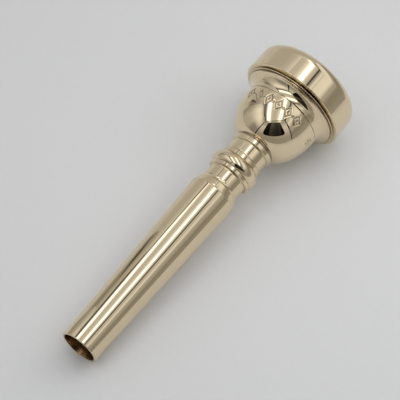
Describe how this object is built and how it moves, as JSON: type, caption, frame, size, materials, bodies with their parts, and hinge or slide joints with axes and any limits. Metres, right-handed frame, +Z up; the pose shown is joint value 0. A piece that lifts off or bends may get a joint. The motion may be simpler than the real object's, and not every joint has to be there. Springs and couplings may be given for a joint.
{
  "type": "brass instrument mouthpiece",
  "caption": "Cup mouthpiece of trumpet size: rounded rim, round bowl, turned neck with a ball bead and a tapered shank; it screws apart at rim and foot.",
  "frame": {"origin": "bottom centre of the bounding box, with the mouthpiece lying on its side on z = 0, touching with the edge of the shank end and the lower edge of the rim band", "axes": "+X runs from the shank end towards the rim, +Z up; the bore axis lies in the XZ plane and rises 6.16 degrees towards the rim; Y is across"},
  "size_m": [0.0896, 0.027, 0.0274],
  "materials": {
    "polished_brass": "mirror polished, pale champagne gold",
    "seal_rubber": "matte black"
  },
  "bodies": {
    "shank_body": {"shank": "polished_brass"},
    "foot_ring": {"shank_seal": "seal_rubber"},
    "cup_body": {"cup": "polished_brass"},
    "top_ring": {"rim_seal": "seal_rubber"},
    "rim_body": {"rim": "polished_brass"}
  },
  "joints": [
    {"name": "cup_unscrew", "type": "hinge", "parent": "shank_body", "child": "foot_ring", "pos_m": [0.02115, 0, 0.01187], "axis": [0.9942, 0, 0.1073], "range_deg": [0, 1260.1]},
    {"name": "cup_lift", "type": "slide", "parent": "foot_ring", "child": "cup_body", "axis": [0.9942, 0, 0.1073], "range_m": [0, 0.0035]},
    {"name": "rim_unscrew", "type": "hinge", "parent": "cup_body", "child": "top_ring", "pos_m": [0.03576, 0, 0.01345], "axis": [0.9942, 0, 0.1073], "range_deg": [0, 1080.1]},
    {"name": "rim_lift", "type": "slide", "parent": "top_ring", "child": "rim_body", "axis": [0.9942, 0, 0.1073], "range_m": [0, 0.003]}
  ],
  "couplings": [
    {"joint": "cup_unscrew", "follows": "cup_lift", "rad_per_m": 6283.2},
    {"joint": "rim_unscrew", "follows": "rim_lift", "rad_per_m": 6283.2}
  ]
}
